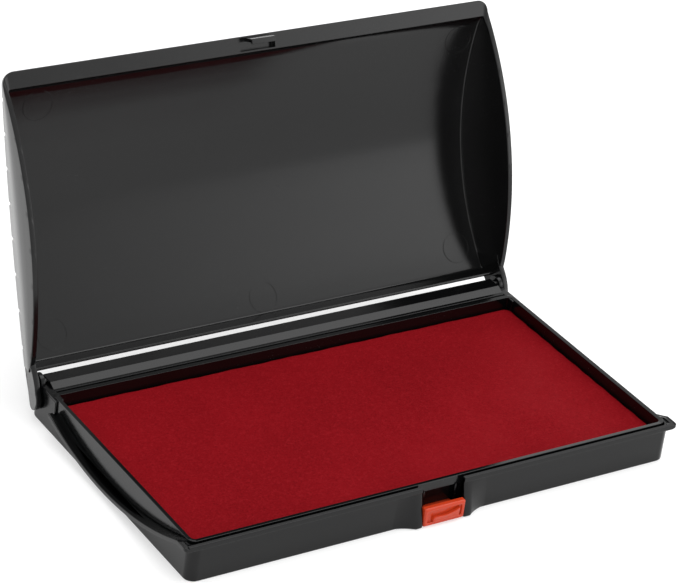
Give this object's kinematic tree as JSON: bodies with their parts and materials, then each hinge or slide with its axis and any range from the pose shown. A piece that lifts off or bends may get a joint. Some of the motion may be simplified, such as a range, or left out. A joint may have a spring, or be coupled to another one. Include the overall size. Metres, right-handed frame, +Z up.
{
  "type": "ink pad",
  "caption": "Large hinged ink pad: flat black case with a drop-in pad tray, woven inked pad, vaulted lid and a push-button latch.",
  "frame": {"origin": "centre of the underside of the base", "axes": "+X to the right along the hinge, +Y from the front latch to the hinge, +Z up from the table"},
  "size_m": [0.164, 0.1217, 0.0953],
  "materials": {
    "case_black": "satin moulded black",
    "tray_grey": "satin dark grey",
    "button_red": "gloss orange-red",
    "inked_cloth": "plain weave soaked with dark red ink",
    "inked_felt": "pressed wool felt",
    "inked_foam": "open-cell foam",
    "grey_board": "grey pressed board",
    "spring_steel": "bright drawn wire",
    "pin_steel": "ground pin"
  },
  "bodies": {
    "base": {"base_shell": "case_black", "pad_tray": "tray_grey", "backing_board": "grey_board", "felt_reservoir": "inked_felt", "foam_layer": "inked_foam", "pad_cover": "inked_cloth", "latch_spring": "spring_steel", "hinge_pin_left": "pin_steel", "hinge_pin_right": "pin_steel"},
    "lid": {"lid_shell": "case_black"},
    "button": {"latch_button": "button_red"}
  },
  "joints": [
    {"name": "lid_hinge", "type": "hinge", "parent": "base", "child": "lid", "pos_m": [0, 0.0426, 0.0114], "axis": [1, 0, 0], "range_deg": [0, 109]},
    {"name": "button_push", "type": "slide", "parent": "base", "child": "button", "axis": [0, 1, 0], "range_m": [0, 0.002], "stiffness_N_per_m": 400, "springref_m": -0.001, "deforming": ["latch_spring"]}
  ]
}
